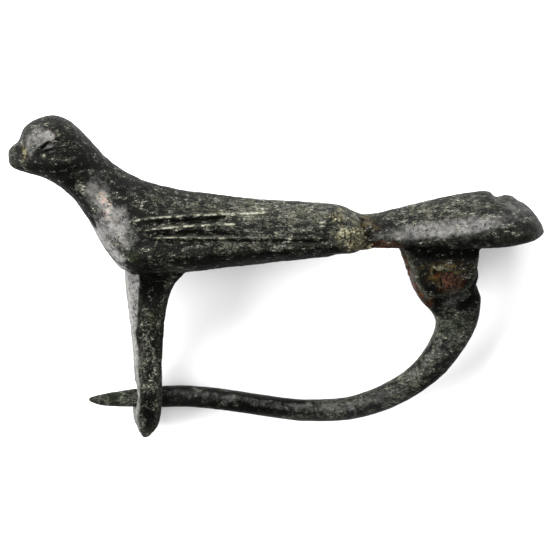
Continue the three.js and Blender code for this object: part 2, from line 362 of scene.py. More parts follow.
def speckle_group() -> bpy.types.NodeTree:
    """Clustered corrosion specks, drawn out along the bird, and curly pale flecks between them.

    Returns:
        The group, which puts out a mask of the specks and one of the flecks.
    """
    t, given, put = new_group("corrosion_specks", {"Size": 1.0, "Amount": 0.5}, ("Mask", "Fleck"))
    at = t.counted(t.stretched(given["Vector"], (0.6, 1.0, 1.0)), given["Size"])
    fine = t.noise(at, scale=1.9, detail=6.0, rough=0.7, bend=0.4)
    broad = t.noise(at, scale=0.5, detail=3.0, rough=0.55, bend=0.2)
    level = t.plus(t.times(fine, 0.72), t.times(broad, 0.28))
    least = t.less(0.68, t.times(given["Amount"], 0.3))
    t.join(t.ramp(t.less(level, least), low=0.0, high=0.03), put["Mask"])
    curl = t.noise(at, scale=2.6, detail=5.0, rough=0.66, bend=0.6)
    line = t.ramp(t.calc("ABSOLUTE", t.less(curl, 0.5)), low=0.006, high=0.022, start=0.45, end=0.0)
    dash = t.noise(t.stretched(at, (0.55, 1.0, 1.0)), scale=3.6, detail=5.0, rough=0.76)
    thin = t.larger(line, t.ramp(dash, low=0.56, high=0.61))
    flock = t.less(t.noise(at, scale=0.9, detail=3.0), least)
    t.join(t.times(thin, t.ramp(flock, low=-0.02, high=0.08)), put["Fleck"])
    return t.tree


def pit_group() -> bpy.types.NodeTree:
    """Small corrosion pits.

    Returns:
        The group, which puts out a height that dips and a mask of the dips.
    """
    t, given, put = new_group("corrosion_pits", {"Size": 0.2, "Amount": 0.5}, ("Height", "Mask"))
    at = t.counted(given["Vector"], given["Size"])
    cells = t.node("ShaderNodeTexVoronoi", {"Vector": at, "Scale": 1.0, "Randomness": 1.0})
    dip = t.ramp(cells.outputs["Distance"], low=0.16, high=0.42, start=1.0, end=0.0)
    where = t.ramp(t.noise(at, scale=0.3, detail=3.0), low=0.46, high=0.62)
    mask = t.times(t.times(dip, where), given["Amount"], clamp=True)
    grit = t.noise(at, scale=1.4, detail=5.0, rough=0.7)
    t.join(t.less(t.times(grit, 0.6), mask), put["Height"])
    t.join(mask, put["Mask"])
    return t.tree


def rub_group() -> bpy.types.NodeTree:
    """Fine rub marks drawn out along x.

    Returns:
        The group, which puts out their height.
    """
    t, given, put = new_group("rub_marks", {"Size": 0.2}, ("Height",))
    at = t.counted(t.stretched(given["Vector"], (0.13, 1.0, 1.0)), given["Size"])
    t.join(t.noise(at, scale=1.0, detail=5.0, rough=0.65), put["Height"])
    return t.tree


class Effects:
    """The shader groups that the finishes share."""

    def __init__(self) -> None:
        """Builds each group once."""
        self.specks = speckle_group()
        self.pits = pit_group()
        self.rubs = rub_group()


# ---------------------------------------------------------------- finishes


# The masks each skin stores. The worn-metal mask also carries a painted highlight, the groove-lip
# mask painted glints, and the darkening mask is painted shade, to which the hollows add.
MASKS = (
    "wear_and_highlight",
    "lip",
    "upright",
    "copper",
    "olive",
    "pale",
    "green",
    "ochre",
    "rust",
    "painted_shade",
    "ridge",
    "hollow",
)


def new_material(name: str) -> tuple[bpy.types.Material, Tree]:
    """Starts an empty material.

    Args:
        name: the material's name.

    Returns:
        The material and its tree.
    """
    made = bpy.data.materials.new(name)
    made.use_nodes = True
    made.node_tree.nodes.clear()
    return made, Tree(made.node_tree)


@dataclass
class Surface:
    """What the layers of a bronze finish share in one material."""

    tree: Tree
    at: Socket
    mask: dict[str, Socket]
    grain: Socket
    grit: Socket
    shade: Socket
    lit: Socket
    specks: bpy.types.Node
    pits: bpy.types.Node
    rubs: bpy.types.Node


@dataclass(frozen=True)
class Bronze:
    """Patinated cast bronze with specks, worn metal, crust and rust where the masks say, and with
    painted shade and painted highlight where they say so.
    """

    name: str
    dark: Colour = (0.0008, 0.0009, 0.0007)
    body: Colour = (0.0085, 0.0092, 0.007)
    speck: Colour = (0.108, 0.11, 0.08)
    fleck: Colour = (0.37, 0.37, 0.30)
    pale: Colour = (0.20, 0.20, 0.135)
    # Pale colour of the wing-line lips, partly worn edge and partly a painted highlight, and of the
    # painted glints.
    lip: Colour = (0.31, 0.305, 0.235)
    metal: Colour = (0.175, 0.171, 0.165)
    metal_deep: Colour = (0.06, 0.059, 0.057)
    copper: Colour = (0.33, 0.235, 0.195)
    green: Colour = (0.017, 0.025, 0.007)
    rust: Colour = (0.115, 0.034, 0.009)
    rust_deep: Colour = (0.012, 0.005, 0.003)
    ochre: Colour = (0.085, 0.06, 0.02)
    speck_size: float = 0.4
    speck_amount: float = 0.42
    olive_gain: float = 0.3
    bump: float = 1.0
    gloss: float = 0.06
    rough: float = 0.5
    pit_size: float = 0.2
    rub_size: float = 0.13
    bump_depth: float = 0.00017

    def build(self, effects: Effects, roll: float) -> bpy.types.Material:
        """Makes the material.

        Args:
            effects: the shared shader groups.
            roll: how far the bird is rolled in the row frame, in radians.

        Returns:
            The finished material.
        """
        made, t = new_material(self.name)
        s = self.start(t, effects, roll)
        crust = self.crust(s)
        metal_and_highlight = self.metal_and_highlight(s)
        stain = t.noise(s.at, scale=1.9, detail=6.0, rough=0.72)
        stain = t.times(s.mask["ochre"], t.ramp(stain, low=0.45, high=0.62, start=0.0, end=0.8))
        rusty = t.noise(s.at, scale=2.3, detail=6.0, rough=0.7)
        rusty = t.times(s.mask["rust"], t.ramp(rusty, low=0.4, high=0.58))
        colour = self.crusted(s, self.patina(s), crust)
        colour = self.worn(s, colour, metal_and_highlight)
        green = t.times(s.mask["green"], t.ramp(s.grain, low=0.38, high=0.62, start=0.0, end=0.8))
        colour = t.blend(green, colour, self.green)
        colour = t.blend(stain, colour, self.ochre)
        rust = t.blend(t.ramp(s.grain, low=0.38, high=0.6), self.rust, self.rust_deep)
        colour = t.blend(rusty, colour, rust)
        colour = t.blend(t.times(s.pits.outputs["Mask"], 0.85), colour, self.dark)
        dull = t.larger(t.larger(crust, rusty), stain)
        metallic = t.times(metal_and_highlight, t.less(0.42, dull), clamp=True)
        # The specular level falls to a fifth in the painted shade.
        gloss = t.times(t.ramp(s.shade, low=0.0, high=0.7, start=1.0, end=0.2), self.gloss)
        inputs = {
            "Base Color": colour,
            "Metallic": metallic,
            "Roughness": self.roughness(s, dull, metal_and_highlight),
            "Normal": self.normal(s, metal_and_highlight),
            "Specular IOR Level": gloss,
        }
        shader = t.node("ShaderNodeBsdfPrincipled", inputs)
        t.join(shader.outputs[0], t.node("ShaderNodeOutputMaterial").inputs[0])
        return made

    def start(self, t: Tree, effects: Effects, roll: float) -> Surface:
        """Adds what every layer reads.

        Args:
            t: the material's tree.
            effects: the shared shader groups.
            roll: how far the bird is rolled in the row frame, in radians.

        Returns:
            The shared sockets and group nodes.
        """
        place = t.node("ShaderNodeTexCoord").outputs["Object"]
        turned = {"Vector": place, "Rotation": (-roll, 0, 0), "Scale": (PER_METRE,) * 3}
        at = t.node("ShaderNodeMapping", turned).outputs[0]
        mask = {n: t.node("ShaderNodeAttribute", attribute_name=n).outputs["Fac"] for n in MASKS}
        tall = t.stretched(at, (1.55, 0.7, 1.0))
        drawn = t.node("ShaderNodeMix", {0: mask["upright"], 4: at, 5: tall}, data_type="VECTOR")
        specks, pits, rubs = (
            t.node("ShaderNodeGroup", node_tree=tree)
            for tree in (effects.specks, effects.pits, effects.rubs)
        )
        for group in (specks, pits, rubs):
            t.join(drawn.outputs[1], group.inputs["Vector"])
        amount = t.plus(self.speck_amount, t.times(mask["olive"], self.olive_gain))
        # Specks thin out a little in the painted shade.
        t.join(t.less(amount, t.times(mask["painted_shade"], 0.1)), specks.inputs["Amount"])
        specks.inputs["Size"].default_value = self.speck_size
        pits.inputs["Size"].default_value = self.pit_size
        pits.inputs["Amount"].default_value = 1.0
        rubs.inputs["Size"].default_value = self.rub_size
        grain = t.noise(at, scale=5.5, detail=6.0, rough=0.78)
        grit = t.ramp(grain, low=0.42, high=0.64)
        # Painted shade: the darkening mask and, weaker, the hollows; it darkens the colour and dims
        # the specks and flecks.
        shade = t.larger(mask["painted_shade"], t.times(mask["hollow"], 0.75))
        lit = t.less(1.0, t.times(shade, 0.35))
        return Surface(t, at, mask, grain, grit, shade, lit, specks, pits, rubs)

    def patina(self, s: Surface) -> Socket:
        """The dark skin, darkened by the painted shade, with its specks and lighter ridges, partly
        rubbed wear and partly a painted highlight.

        Args:
            s: the shared sockets.

        Returns:
            Its colour.
        """
        t = s.tree
        tone = t.noise(s.at, scale=0.9, detail=5.0, rough=0.66, bend=0.4)
        tone = t.ramp(tone, low=0.38, high=0.64)
        colour = t.blend(t.times(t.plus(t.times(tone, 0.6), 0.4), s.grit), self.dark, self.body)
        # Painted shade darkens the skin towards near black.
        colour = t.blend(t.times(s.shade, 0.85), colour, self.dark)
        specks = t.times(s.specks.outputs["Mask"], t.plus(t.times(s.grit, 0.85), 0.1))
        colour = t.blend(t.times(specks, s.lit), colour, self.speck)
        # Lighter ridges: partly rubbed wear, partly a painted highlight along edges.
        edge = t.times(s.mask["ridge"], t.plus(t.times(s.grit, 0.6), 0.05))
        return t.blend(edge, colour, self.speck)

    def crust(self, s: Surface) -> Socket:
        """Where pale crust lies, with a ragged edge.

        Args:
            s: the shared sockets.

        Returns:
            0 to 1.
        """
        t = s.tree
        ragged = t.times(t.less(t.noise(s.at, scale=1.1, detail=6.0, rough=0.68), 0.5), 2.6)
        ragged = t.times(ragged, t.ramp(s.mask["pale"], low=0.0, high=0.2))
        spread = t.ramp(t.plus(s.mask["pale"], ragged), low=0.3, high=0.8)
        patchy = t.noise(s.at, scale=3.4, detail=6.0, rough=0.74)
        return t.times(spread, t.ramp(patchy, low=0.4, high=0.56))

    def crusted(self, s: Surface, colour: Socket, crust: Socket) -> Socket:
        """Lays crust, and the pale lips of the wing lines with the painted glints, over a colour;
        the lips' pale colour is partly worn edge and partly a painted highlight.

        Args:
            s: the shared sockets.
            colour: what lies under them.
            crust: where the crust lies.

        Returns:
            The new colour.
        """
        t = s.tree
        tint = t.blend(t.ramp(s.grain, low=0.38, high=0.54), self.ochre, self.pale)
        colour = t.blend(crust, colour, tint)
        gaps = t.noise(s.at, scale=1.7, detail=3.0)
        gaps = t.ramp(gaps, low=0.44, high=0.56, start=0.08, end=1.0)
        breaks = t.times(gaps, t.ramp(s.grain, low=0.34, high=0.52, start=0.35, end=1.0))
        lips = t.times(t.ramp(s.mask["lip"], low=0.35, high=0.85), breaks)
        return t.blend(lips, colour, self.lip)

    def metal_and_highlight(self, s: Surface) -> Socket:
        """Where the patina is worn through to metal, and where a painted highlight lies in the
        metal's colour.

        Args:
            s: the shared sockets.

        Returns:
            0 to 1.
        """
        t = s.tree
        wear_and_highlight = s.mask["wear_and_highlight"]
        chatter = t.noise(s.at, scale=1.3, detail=7.0, rough=0.7, bend=0.3)
        chatter = t.times(t.times(t.less(chatter, 0.5), 1.7), t.less(1.15, wear_and_highlight))
        through = t.ramp(t.plus(wear_and_highlight, chatter), low=0.3, high=0.95)
        return t.times(through, t.ramp(wear_and_highlight, low=0.0, high=0.25))

    def worn(self, s: Surface, colour: Socket, metal_and_highlight: Socket) -> Socket:
        """Lays worn metal, with the painted highlight that shares its colour, and pale flecks over
        a colour.

        Args:
            s: the shared sockets.
            colour: what lies under them.
            metal_and_highlight: where the patina is worn through, and where the painted highlight
                lies.

        Returns:
            The new colour.
        """
        t = s.tree
        cloudy = t.ramp(t.noise(s.at, scale=3.2), low=0.3, high=0.62)
        warm = t.ramp(t.noise(s.at, scale=2.4, detail=5.0, rough=0.66), low=0.5, high=0.64)
        metal = t.blend(cloudy, self.metal_deep, self.metal)
        metal = t.blend(t.times(warm, s.mask["copper"]), metal, self.copper)
        colour = t.blend(t.times(metal_and_highlight, 0.86), colour, metal)
        flecks = t.times(s.specks.outputs["Fleck"], t.less(0.8, t.times(metal_and_highlight, 0.35)))
        return t.blend(t.times(flecks, s.lit), colour, self.fleck)

    def roughness(self, s: Surface, dull: Socket, metal_and_highlight: Socket) -> Socket:
        """How rough the surface is.

        Args:
            s: the shared sockets.
            dull: where crust, rust or stain lies.
            metal_and_highlight: where the patina is worn through, and where the painted highlight
                lies.

        Returns:
            The roughness.
        """
        t = s.tree
        rough = t.ramp(s.grain, low=0.3, high=0.7, start=self.rough - 0.1, end=self.rough + 0.1)
        rough = t.plus(rough, t.times(t.plus(dull, metal_and_highlight), 0.12))
        return t.plus(rough, t.times(s.specks.outputs["Mask"], 0.12), clamp=True)

    def normal(self, s: Surface, metal_and_highlight: Socket) -> Socket:
        """The finest unevenness, weaker where metal is worn smooth and where the painted highlight
        lies.

        Args:
            s: the shared sockets.
            metal_and_highlight: where the patina is worn through, and where the painted highlight
                lies.

        Returns:
            The normal.
        """
        t = s.tree
        smooth = t.less(1.0, t.times(metal_and_highlight, 0.45))
        high = t.plus(s.pits.outputs["Height"], t.times(s.specks.outputs["Mask"], 0.45))
        high = t.plus(t.times(high, smooth), t.times(s.rubs.outputs["Height"], 0.5))
        high = t.plus(high, t.times(t.times(s.grain, 0.7), smooth))
        names = {"Strength": self.bump, "Distance": self.bump_depth, "Height": high}
        return t.node("ShaderNodeBump", names).outputs[0]


@dataclass(frozen=True)
class Crust:
    """Knobbly corrosion crust in two tones."""

    name: str
    bright: Colour
    deep: Colour
    share: float
    rough: float = 0.75
    gloss: float = 0.12
    bump: float = 0.8
    bump_depth: float = 0.00012

    def build(self) -> bpy.types.Material:
        """Makes the material.

        Returns:
            The finished material.
        """
        made, t = new_material(self.name)
        place = t.node("ShaderNodeTexCoord").outputs["Object"]
        at = t.node("ShaderNodeMapping", {"Vector": place, "Scale": (PER_METRE,) * 3}).outputs[0]
        grain = t.noise(at, scale=3.4, detail=6.0, rough=0.7, bend=0.3)
        patchy = t.ramp(t.noise(at, scale=1.3), self.share, self.share + 0.2, start=0.15, end=1.0)
        bright = t.times(t.ramp(grain, low=0.46, high=0.62), patchy)
        lumps = {"Strength": self.bump, "Distance": self.bump_depth, "Height": grain}
        inputs = {
            "Base Color": t.blend(bright, self.deep, self.bright),
            "Roughness": self.rough,
            "Specular IOR Level": self.gloss,
            "Normal": t.node("ShaderNodeBump", lumps).outputs[0],
        }
        shader = t.node("ShaderNodeBsdfPrincipled", inputs)
        t.join(shader.outputs[0], t.node("ShaderNodeOutputMaterial").inputs[0])
        return made


CAST_BRONZE = Bronze("cast_bronze")
PIN_BRONZE = Bronze(
    "pin_bronze",
    speck=(0.06, 0.065, 0.047),
    fleck=(0.2, 0.21, 0.16),
    metal=(0.15, 0.155, 0.145),
    speck_size=0.45,
    speck_amount=0.4,
    bump=0.9,
    gloss=0.05,
    rough=0.4,
)
IRON_RUST = Crust("rusted_iron", (0.08, 0.025, 0.008), (0.010, 0.004, 0.002), 0.45)
PALE_CRUST = Crust("pale_crust", (0.34, 0.31, 0.2), (0.03, 0.026, 0.012), 0.36)


# ---------------------------------------------------------------- geometry nodes


def new_geometry(name: str, values: dict[str, float | int]) -> tuple[Tree, Any]:
    """Starts a geometry node group with a named input for each value.

    Args:
        name: the group's name.
        values: input name to value, whole numbers for whole inputs.

    Returns:
        The tree and its given sockets.
    """
    group = bpy.data.node_groups.new(name, "GeometryNodeTree")
    group.interface.new_socket("Geometry", in_out="INPUT", socket_type="NodeSocketGeometry")
    for label, value in values.items():
        kind = "NodeSocketInt" if isinstance(value, int) else "NodeSocketFloat"
        group.interface.new_socket(label, in_out="INPUT", socket_type=kind)
    group.interface.new_socket("Geometry", in_out="OUTPUT", socket_type="NodeSocketGeometry")
    tree = Tree(group)
    return tree, tree.node("NodeGroupInput").outputs


def end_geometry(t: Tree, geometry: Socket, material: bpy.types.Material) -> bpy.types.NodeTree:
    """Ends a geometry tree in Realize Instances and Set Material.

    Args:
        t: the tree.
        geometry: what it has made.
        material: set on the result.

    Returns:
        The finished group.
    """
    real = t.node("GeometryNodeRealizeInstances", {"Geometry": geometry}).outputs[0]
    done = t.node("GeometryNodeSetMaterial", {"Geometry": real, "Material": material})
    t.join(done.outputs[0], t.node("NodeGroupOutput").inputs[0])
    return t.tree


@dataclass(frozen=True)
class Relief:
    """The uneven skin of a corroded casting, in millimetres."""

    lump: float
    grain: float
    grain_size: float
    crust: float
    lump_size: float = 1.6
    seed: int = 7

    def values(self) -> dict[str, float | int]:
        """The tree's inputs by name."""
        return {
            "Lump Height": self.lump,
            "Lump Size": self.lump_size,
            "Grain Height": self.grain,
            "Grain Size": self.grain_size,
            "Crust Height": self.crust,
            "Seed": float(self.seed),
        }

    def tree(self, material: bpy.types.Material) -> bpy.types.NodeTree:
        """The node tree that pushes each point along its normal.

        Args:
            material: set on the result.

        Returns:
            The geometry node tree, with a named input for each size.
        """
        t, given = new_geometry("casting_relief", self.values())
        place = t.node("GeometryNodeInputPosition").outputs[0]

        def wave(size: Socket, shift: float, detail: float) -> Socket:
            """Noise about zero, of one wavelength.

            Args:
                size: the wavelength.
                shift: how far from the seed it is taken.
                detail: how many finer waves it carries.

            Returns:
                The height's socket.
            """
            names = {"Vector": place, "Detail": detail, "Roughness": 0.6}
            made = t.node("ShaderNodeTexNoise", names, noise_dimensions="4D")
            t.join(t.plus(given["Seed"], shift), made.inputs["W"])
            t.join(t.calc("DIVIDE", 1.0, size), made.inputs["Scale"])
            return t.less(made.outputs[0], 0.5)

        pale, rust = (
            t.node("GeometryNodeInputNamedAttribute", {"Name": n}, data_type="FLOAT").outputs[0]
            for n in ("pale", "rust")
        )
        lumps = t.times(wave(given["Lump Size"], shift=0.0, detail=2.0), given["Lump Height"])
        grain = t.times(wave(given["Grain Size"], shift=3.1, detail=4.0), given["Grain Height"])
        crusty = t.times(wave(given["Grain Size"], shift=5.7, detail=3.0), given["Crust Height"])
        crusty = t.times(crusty, t.plus(pale, rust))
        total = t.times(t.plus(t.plus(lumps, grain), crusty), 2.0)
        normal = t.node("GeometryNodeInputNormal").outputs[0]
        push = t.node("ShaderNodeVectorMath", {0: normal}, operation="SCALE")
        t.join(total, push.inputs["Scale"])
        names = {"Geometry": given["Geometry"], "Offset": push.outputs[0]}
        return end_geometry(t, t.node("GeometryNodeSetPosition", names).outputs[0], material)


@dataclass(frozen=True)
class Grains:
    """Small uneven grains of crust in a skin, where one of its masks is strong, in millimetres."""

    mask: str
    density: float
    smallest: float
    largest: float
    seed: int = 5
    flatness: float = 0.6

    def values(self) -> dict[str, float | int]:
        """The tree's inputs by name."""
        return {
            "Density": self.density,
            "Smallest": self.smallest,
            "Largest": self.largest,
            "Seed": self.seed,
        }

    def tree(self, material: bpy.types.Material) -> bpy.types.NodeTree:
        """The node tree that scatters the grains.

        Args:
            material: set on the grains.

        Returns:
            The geometry node tree, with a named input for each size.
        """
        t, given = new_geometry("crust_grains_" + self.mask, self.values())
        found = t.node("GeometryNodeInputNamedAttribute", {"Name": self.mask}, data_type="FLOAT")
        strength = found.outputs[0]
        place = t.node("GeometryNodeInputPosition").outputs[0]
        ragged = t.times(t.less(t.noise(place, scale=1.1, detail=3.0), 0.5), 2.2)
        edge = t.plus(strength, t.times(ragged, t.ramp(strength, low=0.0, high=0.2)))
        names = {
            "Mesh": given["Geometry"],
            "Density": t.times(t.ramp(edge, low=0.35, high=0.9), given["Density"]),
            "Seed": given["Seed"],
        }
        spread = t.node("GeometryNodeDistributePointsOnFaces", names)
        names = {2: given["Smallest"], 3: given["Largest"], "Seed": given["Seed"]}
        size = t.node("FunctionNodeRandomValue", names, data_type="FLOAT").outputs[1]
        flat = t.node("ShaderNodeCombineXYZ", {0: size, 1: size, 2: t.times(size, self.flatness)})
        grain = t.node("GeometryNodeMeshIcoSphere", {"Radius": 1.0, "Subdivisions": 2})
        names = {
            "Points": spread.outputs[0],
            "Instance": grain.outputs[0],
            "Rotation": spread.outputs["Rotation"],
            "Scale": flat.outputs[0],
        }
        return end_geometry(t, t.node("GeometryNodeInstanceOnPoints", names).outputs[0], material)


def run_tree(
    obj: bpy.types.Object, tree: bpy.types.NodeTree, values: dict[str, float | int]
) -> bpy.types.Mesh:
    """Runs a geometry tree on an object and takes the plain mesh it makes.

    Args:
        obj: what the tree starts from; it is left without the modifier.
        tree: the geometry node tree.
        values: input name to value.

    Returns:
        The new mesh.
    """
    modifier = obj.modifiers.new("tree", "NODES")
    modifier.node_group = tree
    for item in tree.interface.items_tree:
        if item.in_out == "INPUT" and item.name in values:
            modifier[item.identifier] = values[item.name]
    made = evaluated(obj)
    obj.modifiers.remove(modifier)
    return made


def evaluated(obj: bpy.types.Object) -> bpy.types.Mesh:
    """Applies an object's modifiers to a mesh of its own.

    Args:
        obj: the object, which keeps its modifiers.

    Returns:
        The new mesh.
    """
    bpy.context.view_layer.update()
    graph = bpy.context.evaluated_depsgraph_get()
    shown = obj.evaluated_get(graph)
    return bpy.data.meshes.new_from_object(shown, preserve_all_data_layers=True, depsgraph=graph)


# ---------------------------------------------------------------- cast pieces


def within(points: np.ndarray) -> np.ndarray:
    """Row points kept inside the CAD solids' box."""
    return np.clip(points, CAD_BOX[0], CAD_BOX[1])


class Skin:
    """A fine even skin over one of the CAD solids, in bird millimetres while it is worked."""

    def __init__(self, node: str, bird: BirdFrame, voxel: float, passes: int) -> None:
        """Copies the solid, merges its doubles, and covers it with an even mesh.

        Args:
            node: the CAD node.
            bird: the bird's frame.
            voxel: the mesh's step in millimetres.
            passes: how often the mesh is smoothed, which takes the solid's facets away.
        """
        self.node = node
        self.bird = bird
        mesh = bpy.data.meshes.new(node + "_skin")
        work = bmesh.new()
        work.from_mesh(frame["nodes"][node].data)
        bmesh.ops.remove_doubles(work, verts=work.verts, dist=SAME_PLACE)
        work.to_mesh(mesh)
        work.free()
        mesh.materials.clear()
        self.write(mesh, bird.to_bird(self.read(mesh)))
        self.obj = bpy.data.objects.new(node + "_skin", mesh)
        bpy.context.scene.collection.objects.link(self.obj)
        cover = self.obj.modifiers.new("cover", "REMESH")
        cover.mode = "VOXEL"
        cover.voxel_size = voxel
        soften = self.obj.modifiers.new("soften", "SMOOTH")
        soften.factor = 0.5
        soften.iterations = passes
        self.obj.data = self.take(evaluated(self.obj))
        self.obj.modifiers.clear()

    @staticmethod
    def read(mesh: bpy.types.Mesh) -> np.ndarray:
        """Reads a mesh's points.

        Args:
            mesh: the mesh.

        Returns:
            One row for each point.
        """
        out = np.empty(len(mesh.vertices) * 3)
        mesh.vertices.foreach_get("co", out)
        return out.reshape(-1, 3)

    @staticmethod
    def write(mesh: bpy.types.Mesh, points: np.ndarray) -> None:
        """Moves the mesh's points."""
        mesh.vertices.foreach_set("co", points.astype(np.float32).ravel())
        mesh.update()

    def take(self, mesh: bpy.types.Mesh) -> bpy.types.Mesh:
        """Reads a new mesh's points, normals and edges.

        Args:
            mesh: the mesh.

        Returns:
            The same mesh.
        """
        self.at = self.read(mesh)
        normals = np.empty(len(mesh.vertices) * 3, np.float32)
        mesh.vertex_normals.foreach_get("vector", normals)
        self.out = normals.reshape(-1, 3).astype(float)
        edges = np.empty(len(mesh.edges) * 2, np.int32)
        mesh.edges.foreach_get("vertices", edges)
        self.edges = edges.reshape(-1, 2)
        return mesh

    def mean(self, values: np.ndarray) -> np.ndarray:
        """Each point's mean over its neighbours.

        Args:
            values: one number, or one row, for each point.

        Returns:
            The means, in the same shape.
        """
        a, b = self.edges.T
        n = len(self.at)
        count = np.maximum(np.bincount(a, minlength=n) + np.bincount(b, minlength=n), 1)
        columns = values.reshape(n, -1).T
        sums = [np.bincount(a, c[b], n) + np.bincount(b, c[a], n) for c in columns]
        return (np.stack(sums, 1) / count[:, None]).reshape(values.shape)

    def push(self, height: np.ndarray) -> None:
        """Moves each point along its normal by the height in millimetres."""
        self.write(self.obj.data, self.at + self.out * height[:, None])
        self.take(self.obj.data)

    def mask(self, name: str, values: np.ndarray | float) -> None:
        """Stores a number from 0 to 1 at each point.

        Args:
            name: the attribute's name.
            values: one number for each point, or one for all of them.
        """
        data = self.obj.data.attributes
        layer = data.get(name) or data.new(name, "FLOAT", "POINT")
        kept = np.broadcast_to(np.clip(values, 0, 1), len(self.at))
        layer.data.foreach_set("value", kept.astype(np.float32))

    def relieve(self, relief: Relief, material: bpy.types.Material) -> None:
        """Runs the relief tree over the skin."""
        self.obj.data = self.take(run_tree(self.obj, relief.tree(material), relief.values()))

    def find_edges(self, reach: int = 6, settle: int = 2) -> None:
        """Stores where the skin bulges as ridge and where it dips as hollow.

        Args:
            reach: how many rounds of averaging the bend is measured over.
            settle: how many rounds of averaging the bend itself gets.
        """
        bulge, dip, gain = 0.012, 0.008, 24.0
        calm = self.at
        for _ in range(reach):
            calm = self.mean(calm)
        bend = ((self.at - calm) * self.out).sum(1)
        for _ in range(settle):
            bend = self.mean(bend)
        self.mask("ridge", (bend - bulge) * gain)
        self.mask("hollow", (-bend - dip) * gain)

    def scatter(self, grains: Grains, material: bpy.types.Material, name: str, slot: str) -> None:
        """Scatters grains of crust over the skin as a piece of its own, on the brooch's body.

        Args:
            grains: their sizes and the mask they follow.
            material: their finish.
            name: the new piece's name.
            slot: not used.
        """
        mesh = run_tree(self.obj, grains.tree(material), grains.values())
        made = bpy.data.objects.new(name, mesh)
        bpy.context.scene.collection.objects.link(made)
        self.place(made, self.read(mesh), name, "brooch", slot)

    def finish(self, name: str, body: str, slot: str) -> None:
        """Puts the skin in the row frame in place of its CAD node.

        Args:
            name: the piece's name.
            body: the CAD body it moves with.
            slot: not used.
        """
        self.place(self.obj, self.at, name, body, slot)
        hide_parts(self.node)

    def place(
        self, piece: bpy.types.Object, points: np.ndarray, name: str, body: str, slot: str
    ) -> None:
        """Moves a piece from bird millimetres to the row frame, names it and reports it.

        Args:
            piece: the piece.
            points: its points in bird millimetres.
            name: its name.
            body: the CAD body it moves with.
            slot: not used.
        """
        mesh = piece.data
        self.write(mesh, within(self.bird.to_row(points)))
        mesh.polygons.foreach_set("use_smooth", np.ones(len(mesh.polygons), bool))
        piece.name = name
        mesh.name = name
        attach(piece, body)
        LOG.info("%s: %d points, %d faces", name, len(mesh.vertices), len(mesh.polygons))


